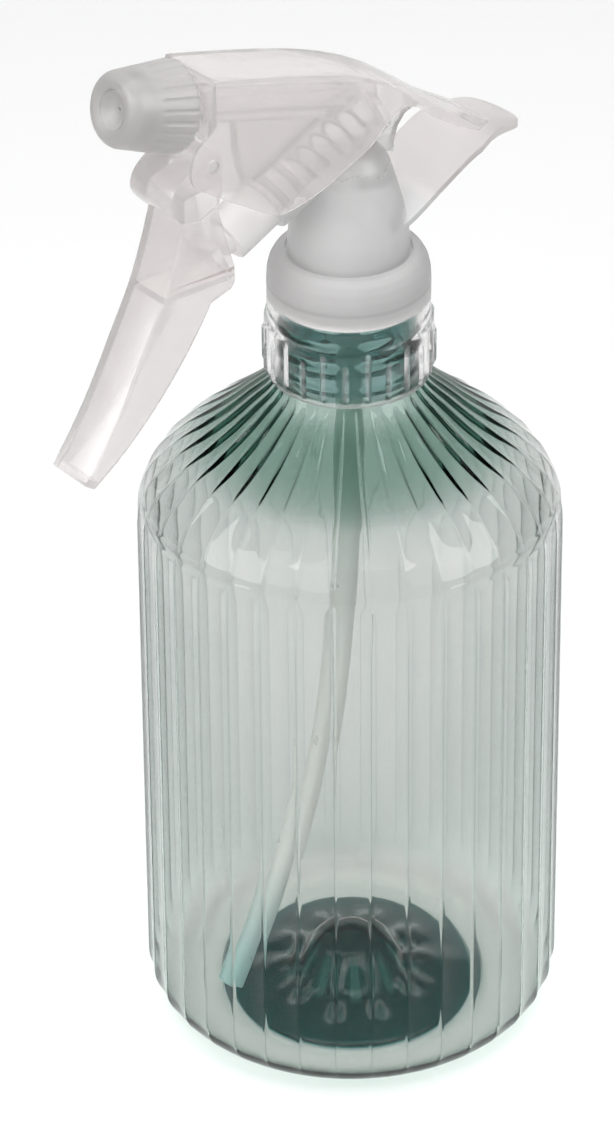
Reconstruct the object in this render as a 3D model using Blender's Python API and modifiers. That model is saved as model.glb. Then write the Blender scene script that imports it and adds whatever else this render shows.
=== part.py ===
"""Hand mister: a fluted plastic bottle with a trigger pump head.

The bottle's axis is vertical, the nozzle points towards -X, and the head is symmetric about y = 0.
Every outline below is in millimetres from the bottle's axis and its standing plane. The empty
mister_frame carries all parts, and it moves that axis so that the origin is the middle of the
whole object's footprint.
"""

import math

import bmesh
import bpy

MM = 0.001

# Driving dimensions, in millimetres and degrees.
AXIS_X = 12.05            # bottle axis, from the middle of the footprint
GAP = 0.3                 # running gap between touching pieces
BOTTLE_R = 40.0
FLUTES = 36
FLUTE_PHASE = 2.0         # turn of the flutes about the axis
WALL = 0.8
CORNER_R = 10.0
SHOULDER_Z = 108.0
NECK_R = 12.5
NECK_BORE_R = 10.9
NECK_TOP_Z = 154.0
COLLAR_R = 16.1
COLLAR_CAP_R = 15.1
COLLAR_Z = 139.2
HEAD_W = 7.0              # half width of the shroud and the hand rest
SHROUD_WALL = 0.7
TRIGGER_W = 5.1           # half width of the lever
KNUCKLE_W = 5.95          # half width of the trigger's top
TRIGGER_WALL = 1.1
PIVOT = (-35.7, 195.9)    # x and z of the trigger's axis
TRUNNION_R = 1.0
PUMP_TILT = 27.0          # rise of the pump's axis towards the rear
PISTON_FACE = (-28.4, 176.4)
PISTON_R = 4.9
CYLINDER_BORE_R = 5.0
CYLINDER_R = 6.0
CYLINDER_MOUTH = 9.5      # along the pump's axis, from the piston's face
CYLINDER_END = 37.0
PISTON_LENGTH = 17.0
NOSE_R = 3.2              # round end that the trigger pushes
GROOVE_R = 4.1
GROOVE = 1.6              # width of a seal groove
SPRING_R = 3.0
SPRING_WIRE_R = 0.35
NOZZLE_TILT = 15.4        # rise of the nozzle's axis towards the front
NOZZLE_REAR = (-39.3, 206.4)
NOZZLE_REAR_R = 8.5
NOZZLE_FRONT_R = 6.8
NOZZLE_LENGTH = 13.8
CUP_R = 3.4               # orifice cup
ORIFICE_R = 0.4
BARREL_R = 3.4
BARREL_FRONT = 8.5        # along the nozzle's axis, from the nozzle's rear
BARREL_REAR = -41.0
STUB_R = 2.5              # barrel behind the pump cylinder
STUB_REAR = -45.4
VALVE_BORE_R = 2.3
VALVE_SEAT = -6.0         # along the nozzle's axis, from the nozzle's rear
PASSAGE_R = 1.4
INLET_BALL_R = 1.5
OUTLET_BALL_R = 1.9
OUTLET_BALL_AT = -4.4     # along the nozzle's axis, from the nozzle's rear
TUBE_R = 2.45
TUBE_BORE_R = 1.6
ROUND = 32                # sides of a large round piece
SMALL_ROUND = 18

PARTS = "hand_mister"
CUTTERS = "hand_mister_cutters"

FROSTED = ((0.86, 0.86, 0.85, 1.0), 0.45, 0.0)
CLEAR = ((0.92, 0.92, 0.91, 1.0), 0.15, 0.0)
TEAL = ((0.45, 0.66, 0.60, 1.0), 0.12, 0.0)
WHITE = ((0.80, 0.80, 0.78, 1.0), 0.6, 0.0)
RUBBER = ((0.30, 0.31, 0.31, 1.0), 0.7, 0.0)
STEEL = ((0.62, 0.63, 0.64, 1.0), 0.25, 1.0)
TUBE = ((0.82, 0.84, 0.82, 1.0), 0.35, 0.0)


def clear_scene():
    for obj in list(bpy.data.objects):
        bpy.data.objects.remove(obj, do_unlink=True)


def collection(name):
    made = bpy.data.collections.new(name)
    bpy.context.scene.collection.children.link(made)
    return made


def add_material(obj, name, finish):
    colour, roughness, metallic = finish
    made = bpy.data.materials.new(name + "_finish")
    made.use_nodes = True
    shader = made.node_tree.nodes["Principled BSDF"]
    shader.inputs["Base Color"].default_value = colour
    shader.inputs["Roughness"].default_value = roughness
    shader.inputs["Metallic"].default_value = metallic
    obj.data.materials.append(made)


def place(obj, x=0.0, z=0.0, tilt=0.0, turn=0.0):
    """Puts the object at x and z in the plane y = 0, leaned about Y and turned about Z, in degrees."""
    obj.location = (x * MM, 0.0, z * MM)
    obj.rotation_euler = (0.0, math.radians(tilt), math.radians(turn))
    obj.parent = frame
    return obj


def place_on_pump(obj, along=0.0):
    """Puts the object's Z on the pump's axis, rising towards the rear."""
    lean = math.radians(PUMP_TILT)
    x = PISTON_FACE[0] + along * math.cos(lean)
    z = PISTON_FACE[1] + along * math.sin(lean)
    return place(obj, x, z, tilt=90.0 - PUMP_TILT)


def place_on_nozzle(obj):
    """Puts the object's Z on the nozzle's axis, pointing forwards."""
    return place(obj, *NOZZLE_REAR, tilt=NOZZLE_TILT - 90.0)


def make_cutter(obj):
    obj.hide_render = True
    obj.display_type = "WIRE"
    return obj


def boolean(obj, other, operation):
    step = obj.modifiers.new(operation.lower() + "_" + other.name, "BOOLEAN")
    step.operation = operation
    step.solver = "EXACT"
    step.object = other
    make_cutter(other)


def turned(name, profile, where, closed=False, sides=ROUND):
    """A solid of revolution about Z. The profile runs down the outer side, from top to bottom."""
    mesh = bpy.data.meshes.new(name)
    points = [(r * MM, 0.0, z * MM) for r, z in profile]
    edges = [(i, i + 1) for i in range(len(points) - 1)]
    if closed:
        edges.append((len(points) - 1, 0))
    mesh.from_pydata(points, edges, [])
    obj = bpy.data.objects.new(name, mesh)
    where.objects.link(obj)
    screw = obj.modifiers.new("turn", "SCREW")
    screw.axis = "Z"
    screw.steps = sides
    screw.render_steps = sides
    screw.use_merge_vertices = True
    screw.merge_threshold = 1e-6
    screw.use_smooth_shade = True
    return obj


def rod(name, radius, low, high, where, sides=SMALL_ROUND):
    """A plain round bar along Z."""
    return turned(name, [(0, high), (radius, high), (radius, low), (0, low)], where, sides=sides)


def from_curve(obj):
    """The same solid as a welded mesh, in the curve's place."""
    bpy.context.view_layer.update()
    graph = bpy.context.evaluated_depsgraph_get()
    mesh = bpy.data.meshes.new_from_object(obj.evaluated_get(graph))
    work = bmesh.new()
    work.from_mesh(mesh)
    bmesh.ops.remove_doubles(work, verts=work.verts, dist=1e-6)
    bmesh.ops.recalc_face_normals(work, faces=work.faces)
    work.to_mesh(mesh)
    work.free()
    name, owner, place_in_world = obj.name, obj.users_collection[0], obj.matrix_world.copy()
    curve = obj.data
    bpy.data.objects.remove(obj, do_unlink=True)
    bpy.data.curves.remove(curve)
    solid = bpy.data.objects.new(name, mesh)
    owner.objects.link(solid)
    solid.matrix_world = place_in_world
    return solid


def arc(centre, radius, start, end, steps):
    """Points of a round stretch, in millimetres, with its angles in degrees."""
    angles = [math.radians(start + (end - start) * i / steps) for i in range(steps + 1)]
    return [(centre[0] + radius * math.cos(a), centre[1] + radius * math.sin(a)) for a in angles]


def plate(name, outline, half_width, where, upright=True):
    """A flat outline with thickness: x and z when upright, extruded along Y, or x and y, along Z."""
    curve = bpy.data.curves.new(name, "CURVE")
    curve.dimensions = "2D"
    curve.fill_mode = "BOTH"
    curve.extrude = half_width * MM
    spline = curve.splines.new("POLY")
    spline.points.add(len(outline) - 1)
    for point, (u, v) in zip(spline.points, outline):
        point.co = (u * MM, v * MM, 0.0, 1.0)
    spline.use_cyclic_u = True
    obj = bpy.data.objects.new(name, curve)
    where.objects.link(obj)
    if upright:
        obj.rotation_euler = (math.radians(90.0), 0.0, 0.0)
    solid = from_curve(obj)
    solid.data.transform(solid.matrix_world)
    solid.matrix_world.identity()
    solid.location = (0.0, 0.0, 0.0)
    solid.rotation_euler = (0.0, 0.0, 0.0)
    solid.parent = frame
    return solid


def wire(name, points, radius, where, sides_step=2):
    """A round bar through the points, which are in millimetres."""
    curve = bpy.data.curves.new(name, "CURVE")
    curve.dimensions = "3D"
    curve.bevel_depth = radius * MM
    curve.bevel_resolution = sides_step
    curve.use_fill_caps = True
    spline = curve.splines.new("POLY")
    spline.points.add(len(points) - 1)
    for point, (x, y, z) in zip(spline.points, points):
        point.co = (x * MM, y * MM, z * MM, 1.0)
    obj = bpy.data.objects.new(name, curve)
    where.objects.link(obj)
    return from_curve(obj)


def helix(radius, low, high, turns, steps):
    return [
        (
            radius * math.cos(2.0 * math.pi * turns * i / steps),
            radius * math.sin(2.0 * math.pi * turns * i / steps),
            low + (high - low) * i / steps,
        )
        for i in range(steps + 1)
    ]


def make_bottle():
    """One blown shell: fluted body, domed shoulder, threaded neck and a pushed-up base."""
    inner_r = BOTTLE_R - WALL
    corner = (BOTTLE_R - CORNER_R, CORNER_R)
    floor_inside = [(0, 10.6), (4.4, 10.6), (7.0, 8.6), (10.8, 4.4), (24.5, 2.4)]
    wall_inside = arc(corner, CORNER_R - WALL - 0.4, -70, 0, 4) + [
        (inner_r, 16),
        (inner_r, SHOULDER_Z),
        (38.1, 113.3),
        (35.4, 117.6),
        (30.9, 121.6),
        (25.9, 125.2),
        (21.0, 128.6),
        (16.6, 132.0),
        (13.0, 135.4),
        (11.2, 138.8),
        (NECK_BORE_R, 141.0),
    ]
    outside = [
        (NECK_BORE_R, NECK_TOP_Z),
        (NECK_R - 0.4, NECK_TOP_Z),
        (NECK_R, NECK_TOP_Z - 0.5),
        (NECK_R, 140.0),
        (13.4, 138.7),
        (15.0, 136.7),
        (18.5, 133.7),
        (22.6, 130.0),
        (27.0, 126.4),
        (32.0, 122.4),
        (36.4, 118.0),
        (39.0, 113.5),
        (BOTTLE_R, SHOULDER_Z),
    ]
    under = arc(corner, CORNER_R, 0, -90, 6) + [
        (25.6, 0.0),
        (24.4, 0.9),
        (10.5, 2.7),
        (6.4, 7.4),
        (4.0, 9.2),
        (0, 9.2),
    ]
    profile = floor_inside + wall_inside + outside + under
    bottle = place(turned("bottle", profile, parts, sides=FLUTES), turn=FLUTE_PHASE)
    thread = wire("bottle_thread", helix(NECK_R + 0.1, 143.0, 150.6, 1.8, 44), 0.8, cutters, 0)
    thread.parent = frame
    boolean(bottle, thread, "UNION")
    add_material(bottle, "bottle", TEAL)


def make_collar():
    """The screw collar: a domed cap over the body's flange, and a wider grip ring below."""
    profile = [
        (11.6, 166.5),
        (12.3, 165.7),
        (13.3, 164.0),
        (14.2, 161.8),
        (14.8, 160.0),
        (COLLAR_CAP_R, 158.4),
        (COLLAR_CAP_R, 151.3),
        (COLLAR_R, 150.8),
        (COLLAR_R, 141.4),
        (15.2, COLLAR_Z),
        (14.4, COLLAR_Z),
        (13.9, 140.4),
        (13.9, 158.0),
        (13.0, 161.0),
        (12.3, 163.0),
        (11.6, 163.9),
    ]
    collar = place(turned("collar", profile, parts, closed=True))
    add_material(collar, "collar", CLEAR)


def make_neck_gasket():
    low, high = NECK_TOP_Z + GAP, NECK_TOP_Z + 1.3
    profile = [(13.3, high), (13.3, low), (9.9, low), (9.9, high)]
    gasket = place(turned("neck_gasket", profile, parts, closed=True))
    add_material(gasket, "neck_gasket", WHITE)


def saddle_outline(lift, thickness):
    """Side outline of the hand rest, raised by lift."""
    top = [
        (3.0, 170.0),
        (8.7, 172.5),
        (14.3, 175.9),
        (18.0, 178.2),
        (21.4, 180.0),
        (25.0, 181.3),
        (29.6, 182.1),
        (34.0, 181.5),
        (38.6, 179.6),
    ]
    return [(x, z + lift) for x, z in top] + [(x, z + lift - thickness) for x, z in reversed(top)]


def make_pump_body():
    """One moulding: chimney, flange, inlet boss, pump cylinder, discharge barrel and hand rest."""
    chimney = [
        (0, 186.0),
        (5.6, 185.2),
        (7.4, 183.0),
        (8.6, 179.0),
        (10.0, 174.0),
        (11.0, 169.0),
        (11.2, 166.0),
        (11.2, 163.7),
        (11.9, 162.7),
        (12.6, 160.7),
        (13.5, 157.7),
        (13.5, NECK_TOP_Z + 1.6),
        (9.8, NECK_TOP_Z + 1.6),
        (9.8, 168.0),
        (6.8, 173.0),
        (5.2, 173.0),
        (5.2, 149.0),
        (0, 149.0),
    ]
    body = place(turned("pump_body", chimney, parts))
    cylinder = rod("pump_cylinder", CYLINDER_R, CYLINDER_MOUTH, CYLINDER_END, cutters, 32)
    barrel = rod("discharge_barrel", BARREL_R, BARREL_REAR, BARREL_FRONT, cutters)
    stub = rod("barrel_stub", STUB_R, STUB_REAR, BARREL_REAR + 6.3, cutters, 18)
    joined = [place_on_pump(cylinder), place_on_nozzle(barrel), place_on_nozzle(stub)]
    web = [(-27.0, 202.0), (-24.0, 186.5), (-8.0, 186.0), (3.0, 184.0), (9.6, 181.6), (9.7, 183.6)]
    web += [(10.6, 186.5), (12.4, 188.6), (15.2, 189.6), (12.0, 192.8), (6.0, 196.0), (-4.0, 200.5)]
    joined.append(plate("body_web", web, 1.2, cutters))
    rest = plate("hand_rest", saddle_outline(0.0, 1.3), HEAD_W + 0.2, cutters)
    tip = [(2.0, -9.0), (24.0, -9.0), (28.0, -7.2)] + arc((30.6, 0), 7.2, -75, 75, 12)
    tip += [(28.0, 7.2), (24.0, 9.0), (2.0, 9.0)]
    rest_plan = plate("hand_rest_plan", tip, 30.0, cutters, upright=False)
    rest_plan.location.z = 180.0 * MM
    boolean(rest, rest_plan, "INTERSECT")
    joined.append(rest)
    for piece in joined:
        boolean(body, piece, "UNION")
    bore = rod("cylinder_bore", CYLINDER_BORE_R, CYLINDER_MOUTH - 1.0, CYLINDER_END - 1.4, cutters, 32)
    steps = [(VALVE_BORE_R, BARREL_FRONT + 1.0), (VALVE_BORE_R, VALVE_SEAT)]
    steps += [(PASSAGE_R, VALVE_SEAT), (PASSAGE_R, STUB_REAR - 1.0)]
    steps = [(0, steps[0][1])] + steps + [(0, steps[-1][1])]
    passage = turned("discharge_bore", steps, cutters, sides=SMALL_ROUND - 2)
    inlet = rod("inlet_bore", 1.2, 165.0, 187.0, cutters, 16)
    socket = rod("inlet_socket", 3.5, 148.0, 168.6, cutters)
    recess = rod("plug_recess", STUB_R + 0.4, STUB_REAR - 5.0, STUB_REAR - 0.05, cutters, 22)
    cuts = [place_on_pump(bore), place_on_nozzle(passage), place(inlet), place(socket)]
    cuts.append(place_on_nozzle(recess))
    for cut in cuts:
        boolean(body, cut, "DIFFERENCE")
    add_material(body, "pump_body", FROSTED)


SHROUD_TOP = [
    (-35.3, 212.6),
    (-27.5, 210.6),
    (-16.0, 207.4),
    (-7.0, 204.5),
    (1.0, 201.2),
    (8.0, 197.4),
    (14.0, 193.1),
    (20.0, 188.5),
    (28.6, 183.2),
]


def make_shroud():
    """Thin cover over the pump: curved top, two side walls with ears, front wall and a tail."""
    lower = [
        (26.0, 182.1),
        (20.6, 185.0),
        (15.2, 188.6),
        (11.0, 192.2),
        (7.6, 193.6),
        (3.8, 191.4),
        (-0.6, 187.9),
        (-6.3, 185.4),
        (-12.1, 182.8),
        (-19.0, 181.3),
        (-22.7, 182.0),
        (-28.0, 185.2),
        (-35.1, 189.8),
    ]
    ear = [(-38.2, 191.9), (-39.9, 193.4), (-40.5, 196.0), (-39.5, 199.4), (-37.0, 202.0)]
    shroud = plate("shroud", SHROUD_TOP + lower + ear, HEAD_W, parts)
    edge = shroud.modifiers.new("edge", "BEVEL")
    edge.width = 0.5 * MM
    edge.segments = 2
    edge.limit_method = "ANGLE"
    edge.angle_limit = math.radians(60.0)
    wall = SHROUD_WALL
    plan = [(-45.0, -HEAD_W), (-2.0, -HEAD_W), (30.0, -5.4)]
    plan += [(x, -y) for x, y in reversed(plan)]
    outside = plate("shroud_plan", plan, 40.0, cutters, upright=False)
    outside.location.z = 195.0 * MM
    boolean(shroud, outside, "INTERSECT")
    hollow = [(x, z - 1.0) for x, z in SHROUD_TOP[1:-1]] + [(26.4, 182.6), (40.0, 170.0), (-50.0, 170.0)]
    hollow += [(-50.0, 201.6), (-36.2, 201.6), (-34.4, 203.0), (-34.4, 211.4)]
    inside = plate("shroud_hollow", hollow, HEAD_W - wall, cutters)
    inner_plan = [(x, y - math.copysign(wall, y)) for x, y in plan]
    inner_plan = [(x * 2.0 if x < -40.0 else x, y) for x, y in inner_plan]
    narrow = plate("shroud_inner_plan", inner_plan, 60.0, cutters, upright=False)
    narrow.location.z = 195.0 * MM
    boolean(inside, narrow, "INTERSECT")
    boolean(shroud, inside, "DIFFERENCE")
    hole = rod("barrel_hole", BARREL_R + 0.5, -10.0, 5.0, cutters)
    boolean(shroud, place_on_nozzle(hole), "DIFFERENCE")
    ears = rod("trunnion_hole", TRUNNION_R + GAP, -12.0, 12.0, cutters, 16)
    ears.location = (PIVOT[0] * MM, 0.0, PIVOT[1] * MM)
    ears.rotation_euler = (math.radians(90.0), 0.0, 0.0)
    ears.parent = frame
    boolean(shroud, ears, "DIFFERENCE")
    add_material(shroud, "shroud", FROSTED)


def about_pivot(points):
    """The points as seen from the trigger's axis."""
    return [(x - PIVOT[0], z - PIVOT[1]) for x, z in points]


def make_trigger():
    """Hollow finger lever with a wider top, a trunnion on each side and a pad for the piston."""
    front = [(-41.6, 184.9), (-43.3, 179.4), (-46.2, 171.6), (-50.8, 162.6), (-56.8, 151.3), (-64.1, 140.4)]
    rear = [(-61.9, 138.9), (-54.4, 144.5), (-46.7, 151.9), (-40.2, 159.8), (-34.8, 167.8)]
    hook = [(-30.5, 169.1), (-29.7, 170.2), (-29.8, 173.4), (-33.3, 186.2)]
    lever = front + rear + hook + [(-34.0, 190.0), (-41.0, 190.0)]
    knuckle = [(-42.0, 186.2), (-43.9, 188.5), (-44.5, 190.6), (-43.4, 193.3), (-40.2, 195.9)]
    knuckle += arc(PIVOT, 2.6, 150, -30, 8) + [(-33.2, 190.0), (-34.0, 187.2), (-38.0, 185.6)]
    pivot = bpy.data.objects.new("trigger_axis", None)
    parts.objects.link(pivot)
    pivot.location = (PIVOT[0] * MM, 0.0, PIVOT[1] * MM)
    pivot.parent = frame
    trigger = plate("trigger", about_pivot(knuckle), KNUCKLE_W, parts)
    handle = plate("trigger_lever", about_pivot(lever), TRIGGER_W, cutters)
    inner = [(-40.4, 184.9), (-42.1, 179.1), (-45.0, 171.2), (-49.6, 162.1), (-55.6, 150.8), (-62.2, 140.7)]
    inner += [(-54.0, 136.0), (-20.0, 168.0), (-26.0, 189.0), (-34.0, 190.8), (-40.4, 190.0)]
    channel = plate("trigger_channel", about_pivot(inner), TRIGGER_W - TRIGGER_WALL, cutters)
    shelf = [(-45.6, 171.8), (-45.2, 170.6), (-30.4, 170.6), (-30.4, 171.8)]
    web = plate("trigger_web", about_pivot(shelf), TRIGGER_W - 0.2, cutters)
    pins = rod("trigger_trunnions", TRUNNION_R, -HEAD_W + 0.1, HEAD_W - 0.1, cutters, 16)
    pins.rotation_euler = (math.radians(90.0), 0.0, 0.0)
    lean = math.radians(PUMP_TILT)
    along, across = (math.cos(lean), math.sin(lean)), (-math.sin(lean), math.cos(lean))
    corners = [(-5.2, -4.0), (-3.5, -4.0), (-3.5, 4.0), (-5.2, 4.0)]
    face = [
        (PISTON_FACE[0] + s * along[0] + n * across[0], PISTON_FACE[1] + s * along[1] + n * across[1])
        for s, n in corners
    ]
    pad = plate("trigger_pad", about_pivot(face), TRIGGER_W - 0.2, cutters)
    boolean(trigger, handle, "UNION")
    boolean(trigger, channel, "DIFFERENCE")
    for piece in (web, pad, pins):
        boolean(trigger, piece, "UNION")
    for piece in (trigger, handle, channel, web, pins, pad):
        piece.parent = pivot
    add_material(trigger, "trigger", FROSTED)


def make_piston():
    """Hollow plunger: a round nose for the trigger, a skirt, and a groove for its seal."""
    grooves = {"piston_seal": PISTON_LENGTH - 1.0, "piston_wiper": 12.4}
    bore_r = SPRING_R + 0.7
    outer = [(bore_r, PISTON_LENGTH), (PISTON_R, PISTON_LENGTH)]
    for top in grooves.values():
        outer += [(PISTON_R, top), (GROOVE_R, top), (GROOVE_R, top - GROOVE), (PISTON_R, top - GROOVE)]
    outer += [(PISTON_R, 0.3), (PISTON_R - 0.3, 0.0), (NOSE_R, 0.0)]
    nose = arc((0, 0.2), NOSE_R, 0, -90, 6)[1:-1] + [(0, 0.2 - NOSE_R)]
    profile = [(0, 13.4), (bore_r, 13.4)] + outer + nose
    piston = place_on_pump(turned("piston", profile, parts, sides=24))
    add_material(piston, "piston", WHITE)
    for name, top in grooves.items():
        high, low = top - 0.2, top - GROOVE + 0.2
        ring = [(4.75, high), (4.95, high - 0.4), (4.95, low + 0.4), (4.75, low)]
        ring += [(GROOVE_R + 0.2, low), (GROOVE_R + 0.2, high)]
        seal = place_on_pump(turned(name, ring, parts, closed=True, sides=24))
        add_material(seal, name, RUBBER)


def make_return_spring():
    low, high = 13.4 + GAP + SPRING_WIRE_R, CYLINDER_END - 1.4 - GAP - SPRING_WIRE_R
    points = helix(SPRING_R, low, high, 6.5, 84)
    spring = place_on_pump(wire("return_spring", points, SPRING_WIRE_R, parts, 0))
    add_material(spring, "return_spring", STEEL)


def make_inlet():
    """Tube holder with a ball seat, its ball, and the dip tube."""
    tube_top = 157.0
    holder = [
        (3.2, 165.8),
        (3.2, 148.6),
        (4.9, 148.6),
        (4.9, 147.2),
        (3.4, 146.0),
        (2.75, 146.0),
        (2.75, tube_top + 0.3),
        (1.0, tube_top + 0.3),
        (1.0, 161.2),
        (1.9, 162.4),
        (1.9, 165.8),
    ]
    made = place(turned("tube_holder", holder, parts, closed=True, sides=32))
    add_material(made, "tube_holder", WHITE)
    ball = turned("inlet_ball", arc((0, 0), INLET_BALL_R, 90, -90, 8), parts, sides=16)
    place(ball, z=162.9)
    add_material(ball, "inlet_ball", STEEL)
    route = [(0, tube_top), (0, 135), (-0.2, 115), (-0.9, 98), (-2.4, 82), (-5.2, 66)]
    route += [(-9.6, 51), (-15.6, 37), (-22.6, 24), (-30.0, 12.6)]
    tube = wire("dip_tube", smooth(route, 3), TUBE_R, parts, 2)
    hollow = wire("dip_tube_bore", smooth(route, 3, overrun=1.0), TUBE_BORE_R, cutters, 0)
    for piece in (tube, hollow):
        piece.parent = frame
    boolean(tube, hollow, "DIFFERENCE")
    add_material(tube, "dip_tube", TUBE)


def smooth(route, steps, overrun=0.0):
    """Points on a smooth curve through the route's x and z, with both ends run on by overrun."""
    ends = [tuple(2 * a - b for a, b in zip(route[0], route[1]))]
    ends.append(tuple(2 * a - b for a, b in zip(route[-1], route[-2])))
    knots = [ends[0]] + route + [ends[1]]
    points = []
    for i in range(1, len(knots) - 2):
        p0, p1, p2, p3 = knots[i - 1 : i + 3]
        for k in range(steps):
            t = k / steps
            points.append(tuple(blend(a, b, c, d, t) for a, b, c, d in zip(p0, p1, p2, p3)))
    points.append(route[-1])
    for end, beside in ((0, 1), (-1, -2)):
        run = [a - b for a, b in zip(points[end], points[beside])]
        size = math.hypot(*run)
        points[end] = tuple(a + overrun * d / size for a, d in zip(points[end], run))
    return [(x, 0.0, z) for x, z in points]


def blend(a, b, c, d, t):
    """One coordinate of a Catmull-Rom curve between b and c."""
    return 0.5 * (2 * b + (c - a) * t + (2 * a - 5 * b + 4 * c - d) * t * t + (3 * b - a - 3 * c + d) * t**3)


def make_outlet():
    """Outlet ball and spring behind the swirl core, all in the barrel's front bore."""
    profile = arc((0, OUTLET_BALL_AT), OUTLET_BALL_R, 90, -90, 8)
    ball = place_on_nozzle(turned("outlet_ball", profile, parts, sides=16))
    add_material(ball, "outlet_ball", STEEL)
    low, high = OUTLET_BALL_AT + OUTLET_BALL_R, 3.0
    points = helix(1.4, low, high, 4.0, 40)
    spring = place_on_nozzle(wire("outlet_spring", points, 0.2, parts, 0))
    add_material(spring, "outlet_spring", STEEL)
    profile = [(0, BARREL_FRONT + 0.3), (1.5, BARREL_FRONT + 0.3), (2.0, BARREL_FRONT - 0.4)]
    profile += [(2.0, 4.2), (1.1, 3.5), (0, 3.5)]
    core = place_on_nozzle(turned("swirl_core", profile, parts))
    slot = rod("swirl_groove", 0.5, 2.0, BARREL_FRONT + 2.0, cutters, 12)
    place_on_nozzle(slot)
    lean = math.radians(NOZZLE_TILT)
    slot.location.x += 2.0 * math.sin(lean) * MM
    slot.location.z += 2.0 * math.cos(lean) * MM
    boolean(core, slot, "DIFFERENCE")
    add_material(core, "swirl_core", WHITE)


def make_discharge_plug():
    """Round plug that closes the barrel's bore behind the pump cylinder."""
    plug_r = PASSAGE_R - 0.3
    low = STUB_REAR - GAP
    profile = [(0, low + 2.4), (plug_r, low + 2.4), (plug_r, low), (STUB_R, low)]
    profile += [(STUB_R, low - 0.8), (0, low - 0.8)]
    plug = place_on_nozzle(turned("discharge_plug", profile, parts))
    add_material(plug, "discharge_plug", WHITE)


def make_nozzle():
    """Conical turn nozzle, the orifice cup pressed into its face, and the ring that seals it."""
    front = NOZZLE_LENGTH
    step_r = CUP_R + GAP
    profile = [(step_r, front - 0.5), (5.0, front)]
    profile += arc((NOZZLE_FRONT_R - 2.0, front - 2.2), 2.2, 80, 5, 5)
    profile += [(NOZZLE_REAR_R, 1.0), (NOZZLE_REAR_R - 0.5, 0.0), (7.3, 0.0), (6.0, 7.6), (5.2, 7.6)]
    profile += [(5.2, 0.4), (BARREL_R + 0.45, 0.4), (BARREL_R + 0.45, 9.8), (2.6, 9.8), (2.6, 11.0)]
    profile += [(step_r, 11.0)]
    nozzle = place_on_nozzle(turned("nozzle", profile, parts, closed=True))
    add_material(nozzle, "nozzle", FROSTED)
    cup = [(ORIFICE_R, front - 2.0), (1.0, front - 2.0), (2.2, front - 1.5), (CUP_R, front - 0.6)]
    cup += [(CUP_R, 11.3), (ORIFICE_R, 11.3)]
    made = place_on_nozzle(turned("orifice_cup", cup, parts, closed=True, sides=24))
    add_material(made, "orifice_cup", WHITE)
    high, low = 9.5, BARREL_FRONT + 0.5
    ring = [(3.5, high), (3.5, low), (2.4, low), (2.4, high)]
    seal = place_on_nozzle(turned("nozzle_seal", ring, parts, closed=True, sides=24))
    add_material(seal, "nozzle_seal", RUBBER)


clear_scene()
parts = collection(PARTS)
cutters = collection(CUTTERS)
cutters.hide_render = True
frame = bpy.data.objects.new("mister_frame", None)
parts.objects.link(frame)
frame.location = (AXIS_X * MM, 0.0, 0.0)

make_bottle()
make_collar()
make_neck_gasket()
make_pump_body()
make_shroud()
make_trigger()
make_piston()
make_return_spring()
make_inlet()
make_outlet()
make_discharge_plug()
make_nozzle()
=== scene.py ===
"""Finished hand mister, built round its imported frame: a fluted, teal-tinted bottle, a clear screw
collar and a translucent trigger pump head.

Outlines are in millimetres from the bottle's axis and its standing plane, with the nozzle towards
-X and the head symmetric about y = 0. Meshes are baked in the frame's metres, and each piece then
rides on its CAD body.
"""

import math

import bmesh
import bpy
import numpy as np
from mathutils import Matrix, Vector


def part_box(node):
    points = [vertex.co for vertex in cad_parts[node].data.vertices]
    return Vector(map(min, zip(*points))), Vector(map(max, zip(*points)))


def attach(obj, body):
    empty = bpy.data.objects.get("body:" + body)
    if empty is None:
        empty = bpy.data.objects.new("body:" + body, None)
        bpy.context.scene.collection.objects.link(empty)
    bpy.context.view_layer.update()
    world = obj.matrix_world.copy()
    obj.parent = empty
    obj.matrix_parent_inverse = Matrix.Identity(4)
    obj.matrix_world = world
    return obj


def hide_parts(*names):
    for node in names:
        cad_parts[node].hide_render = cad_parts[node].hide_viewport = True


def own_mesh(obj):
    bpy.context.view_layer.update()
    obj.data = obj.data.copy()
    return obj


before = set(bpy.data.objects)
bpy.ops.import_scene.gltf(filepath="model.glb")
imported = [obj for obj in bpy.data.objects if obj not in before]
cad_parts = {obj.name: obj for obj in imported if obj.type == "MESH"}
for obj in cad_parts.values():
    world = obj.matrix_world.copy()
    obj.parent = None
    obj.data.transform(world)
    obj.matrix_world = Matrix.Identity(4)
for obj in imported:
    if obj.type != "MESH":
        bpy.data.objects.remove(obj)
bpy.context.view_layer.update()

MM = 0.001
bottle_low, bottle_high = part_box("bottle")
AXIS_X = (bottle_low.x + bottle_high.x) / 2 / MM      # the bottle's axis, in millimetres
BOTTLE_R = (bottle_high.x - bottle_low.x) / 2 / MM
NECK_TOP_Z = bottle_high.z / MM

# Bottle
FLUTES = 36
FLUTE_PHASE = 2.0          # turn of the flutes about the axis, in degrees
FLUTE_DEPTH = 0.55         # on the body
FLUTE_FOLLOW = 0.84        # share of a flute's depth that the wall's inside follows
BODY_WALL = 0.22
CORNER_WALL = 0.52
CORNER_R = 10.0
NECK_R = 12.5
NECK_BORE_R = 10.9
NECK_ROOT_Z = 140.2
NECK_BEAD = (141.4, 0.55, 0.7)     # height, how far it stands out, half its width
THREAD_Z = (143.0, 150.6)  # from its start to its end, on its middle line
THREAD_TURNS = 1.8
THREAD_DEPTH = 0.85
THREAD_HALF = 1.25         # half its width
BASE_DISC_R = 24.6         # the thick middle of the base
BASE_LOBES = 10
LOBE_PHASE = 2.0
LOBE_R = 14.0
LOBE_SPREAD = 4.5
LOBE_HEIGHT = 0.55
LOBE_INSIDE = 1.6          # the folds stand this much higher inside
BLUNT = 0.135              # the wall's inside leaves this share of each ridge unfilled
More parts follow.
